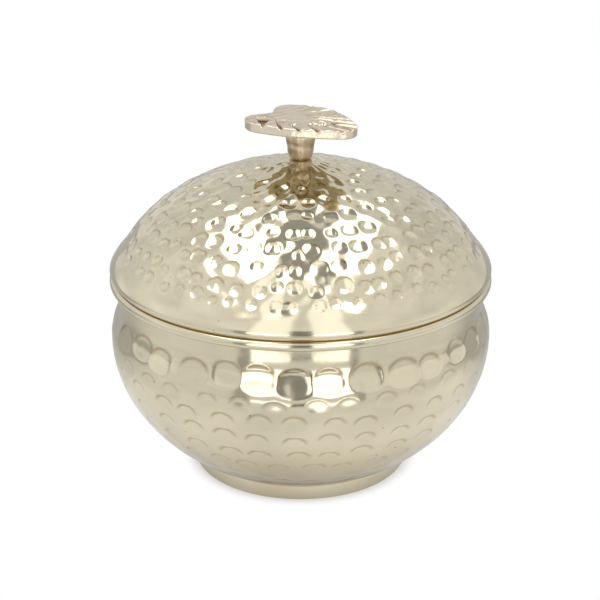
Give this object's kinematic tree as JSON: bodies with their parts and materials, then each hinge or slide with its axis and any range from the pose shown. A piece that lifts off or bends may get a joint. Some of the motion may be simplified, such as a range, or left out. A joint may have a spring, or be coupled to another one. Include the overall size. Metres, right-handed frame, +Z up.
{
  "type": "candy box",
  "caption": "Round hammered metal candy box: a wide-bellied bowl on a low foot ring and a domed lift-off lid with a cast ornamental knob.",
  "frame": {"origin": "centre of the foot ring's lower edge, on the surface the box stands on", "axes": "+Z up along the bowl's axis, -Y towards the viewer, +X to the viewer's right"},
  "size_m": [0.1508, 0.1508, 0.1418],
  "materials": {
    "hammered_shell": "polished pale gold, hammered",
    "foot_band": "polished pale gold",
    "cast_knob": "cast, satin pale gold",
    "inner_fitting": "plain pale gold",
    "iron_wire": "bare drawn wire",
    "fastener": "bright plated"
  },
  "bodies": {
    "bowl": {"bowl_shell": "hammered_shell", "rim_wire": "iron_wire", "foot_ring": "foot_band"},
    "lid": {"lid_shell": "hammered_shell", "lid_collar": "inner_fitting", "knob": "cast_knob", "knob_washer": "fastener", "knob_screw": "fastener"}
  },
  "joints": [
    {"name": "lid_lift", "type": "slide", "parent": "bowl", "child": "lid", "axis": [0, 0, 1], "range_m": [0, 0.06]}
  ]
}
